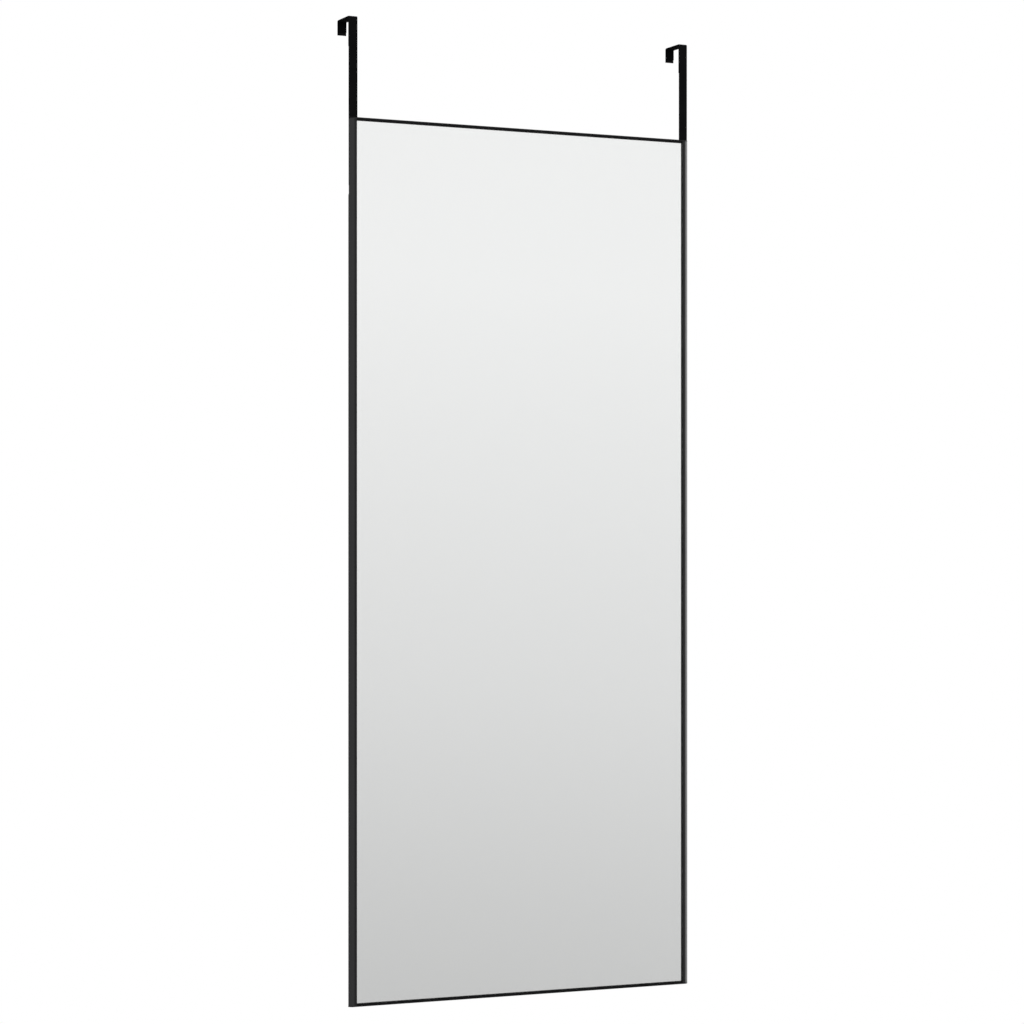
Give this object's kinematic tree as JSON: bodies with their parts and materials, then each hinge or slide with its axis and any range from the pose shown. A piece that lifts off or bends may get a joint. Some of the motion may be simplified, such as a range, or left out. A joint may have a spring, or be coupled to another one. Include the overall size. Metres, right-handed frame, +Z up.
{
  "type": "over the door mirror",
  "caption": "Tall rectangular mirror in a slim bevelled black frame, hung over a door's top edge on two flat steel hooks.",
  "frame": {"origin": "mid-width of the mirror, on the line where the door's top edge meets its front face, with the hooks seated", "axes": "+X to the viewer's right, +Y back through the door, +Z up"},
  "size_m": [0.5206, 0.0466, 1.337],
  "materials": {
    "frame": "satin black",
    "screws": "zinc plated",
    "rubber": "matte",
    "tape": "matte foam",
    "glass": "clear float glass",
    "silver": "silvered",
    "film": "translucent film",
    "board": "hardboard",
    "spring_steel": "bare",
    "hooks": "matte black powder coat",
    "felt": "felt"
  },
  "bodies": {
    "mirror": {"left_stile": "frame", "right_stile": "frame", "top_rail": "frame", "bottom_rail": "frame", "corner_screws": "screws", "setting_blocks": "rubber", "left_glazing_tape": "tape", "right_glazing_tape": "tape", "top_glazing_tape": "tape", "bottom_glazing_tape": "tape", "glass_pane": "glass", "silver_layer": "silver", "safety_film": "film", "back_board": "board", "spring_clips": "spring_steel", "left_hook_screws": "screws", "right_hook_screws": "screws", "upper_left_bumper": "felt", "upper_right_bumper": "felt", "lower_left_bumper": "felt", "lower_right_bumper": "felt"},
    "left_hanger": {"left_hook": "hooks", "left_hook_felt": "felt"},
    "right_hanger": {"right_hook": "hooks", "right_hook_felt": "felt"}
  },
  "joints": [
    {"name": "left_hook_slide", "type": "slide", "parent": "mirror", "child": "left_hanger", "axis": [0, 0, 1], "range_m": [-0.01, 0.01]},
    {"name": "right_hook_slide", "type": "slide", "parent": "mirror", "child": "right_hanger", "axis": [0, 0, 1], "range_m": [-0.01, 0.01]}
  ]
}
